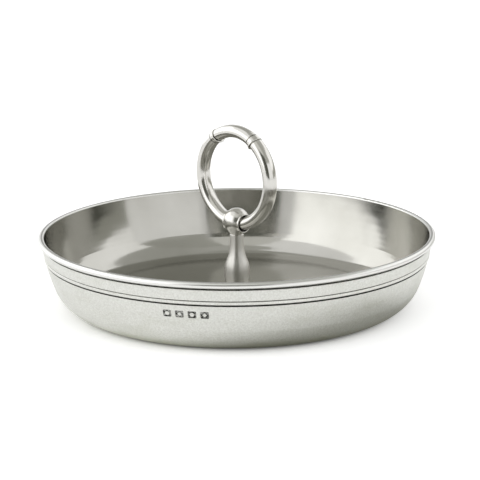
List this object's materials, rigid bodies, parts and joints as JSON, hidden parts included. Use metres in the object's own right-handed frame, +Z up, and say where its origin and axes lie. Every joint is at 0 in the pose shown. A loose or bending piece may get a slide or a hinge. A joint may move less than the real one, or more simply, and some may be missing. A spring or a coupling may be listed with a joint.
{
  "type": "serving dish",
  "caption": "Round shallow pewter dish with a rounded lip and turned lines, a baluster post in its middle and a ring handle that swings in the post's bored ball head.",
  "frame": {"origin": "middle of the underside, on the plane that the dish stands on", "axes": "+Z up along the post, X along the bore of the head, so that the standing ring lies in the XZ plane"},
  "size_m": [0.25, 0.25, 0.1151],
  "materials": {
    "dish_pewter": "pewter, satin outside and polished inside",
    "post_pewter": "pewter, satin polished",
    "ring_pewter": "pewter, polished",
    "screw_steel": "bright steel",
    "seal_rubber": "matt"
  },
  "bodies": {
    "dish": {"bowl": "dish_pewter", "post": "post_pewter", "head": "post_pewter", "post_seal": "seal_rubber", "post_screw": "screw_steel"},
    "ring": {"ring_grip_arc": "ring_pewter", "ring_lower_arc": "ring_pewter", "collar_right": "ring_pewter", "collar_left": "ring_pewter", "dowel_right": "screw_steel", "dowel_left": "screw_steel"}
  },
  "joints": [
    {"name": "ring_swing", "type": "hinge", "parent": "dish", "child": "ring", "pos_m": [0, 0, 0.0529], "axis": [1, 0, 0], "range_deg": [-139, 139]}
  ]
}
